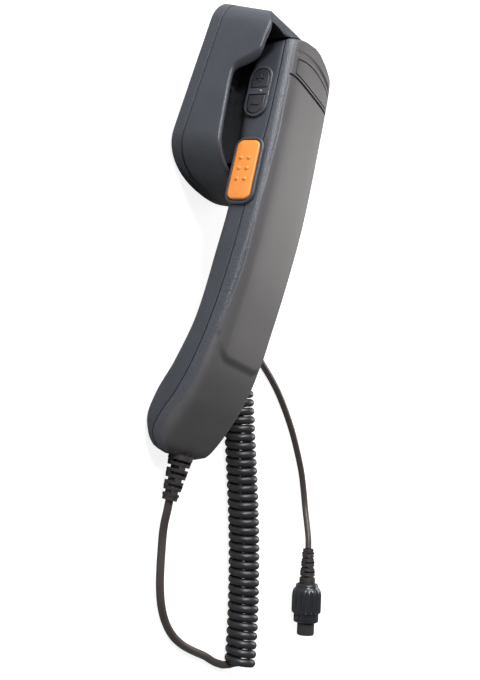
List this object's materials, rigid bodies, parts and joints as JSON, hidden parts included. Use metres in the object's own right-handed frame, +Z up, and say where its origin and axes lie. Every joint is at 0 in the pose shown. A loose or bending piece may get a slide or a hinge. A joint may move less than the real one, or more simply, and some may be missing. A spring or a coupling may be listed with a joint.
{
  "type": "radio handset",
  "caption": "Telephone-style two-way radio handset with ear cup, side talk button, volume keys, curly cord and round locking plug.",
  "frame": {"origin": "centre of the handset's bounding box on the table plane; the handset lies face down on its ear cup rim and its mouthpiece", "axes": "+Y along the handle towards the ear cup, +Z up through the back of the handle, -X is the side with the talk button"},
  "size_m": [0.1982, 0.3011, 0.0551],
  "materials": {
    "textured_case": "fine spark-eroded texture, cool dark grey",
    "smooth_case": "smooth satin, warm dark grey, textured band beside the parting line",
    "badge": "bare satin plate",
    "cloth_mesh": "fine acoustic cloth",
    "zinc": "dull plated steel",
    "dark_metal": "black passivated",
    "cone_paper": "pressed film",
    "soft_rubber": "matt rubber",
    "inner_plastic": "moulded, matt",
    "circuit_board": "solder-mask green",
    "screw_steel": "zinc-plated steel",
    "orange_key": "satin orange",
    "switch_body": "grey moulded",
    "key_rubber": "satin silicone",
    "cord_jacket": "satin polyurethane jacket",
    "coil_jacket": "satin polyurethane jacket",
    "wire_red": "insulated wire",
    "plug_plastic": "moulded, matt",
    "plug_sleeve": "semi-gloss moulded",
    "gold_pins": "gold-plated"
  },
  "bodies": {
    "handset": {"front_shell": "textured_case", "back_shell": "smooth_case", "badge_plate": "badge", "ear_cover": "textured_case", "ear_mesh": "cloth_mesh", "receiver_frame": "zinc", "receiver_magnet": "dark_metal", "receiver_cone": "cone_paper", "receiver_gasket": "soft_rubber", "receiver_clamp": "inner_plastic", "mic_capsule": "zinc", "mic_boot": "soft_rubber", "main_board": "circuit_board", "side_board": "circuit_board", "board_screws": "screw_steel", "case_screws": "screw_steel", "ptt_frame": "inner_plastic", "ptt_switch": "switch_body", "key_bezel": "textured_case", "volume_up_switch": "switch_body", "volume_down_switch": "switch_body", "cord_clamp": "inner_plastic", "clamp_screws": "screw_steel", "inner_cable": "cord_jacket", "receiver_wires": "wire_red", "gland": "soft_rubber", "lead": "cord_jacket", "coil": "coil_jacket", "tail": "cord_jacket", "plug_boot": "soft_rubber", "plug_shell": "plug_plastic", "plug_insulator": "inner_plastic", "contact_pins": "gold_pins", "plug_seal": "soft_rubber"},
    "talk_button": {"ptt_button": "orange_key", "ptt_plunger": "inner_plastic"},
    "volume_up": {"volume_up_key": "key_rubber", "volume_up_plunger": "inner_plastic"},
    "volume_down": {"volume_down_key": "key_rubber", "volume_down_plunger": "inner_plastic"},
    "sleeve": {"coupling_sleeve": "plug_sleeve"}
  },
  "joints": [
    {"name": "ptt_press", "type": "slide", "parent": "handset", "child": "talk_button", "axis": [1, 0, 0], "range_m": [0, 0.0012], "stiffness_N_per_m": 1200},
    {"name": "volume_up_press", "type": "slide", "parent": "handset", "child": "volume_up", "axis": [1, 0, 0], "range_m": [0, 0.0008], "stiffness_N_per_m": 1200},
    {"name": "volume_down_press", "type": "slide", "parent": "handset", "child": "volume_down", "axis": [1, 0, 0], "range_m": [0, 0.0008], "stiffness_N_per_m": 1200},
    {"name": "sleeve_turn", "type": "hinge", "parent": "handset", "child": "sleeve", "pos_m": [0.155, -0.161, 0.0084], "axis": [0.1461, -0.9893, 0], "continuous": true}
  ]
}
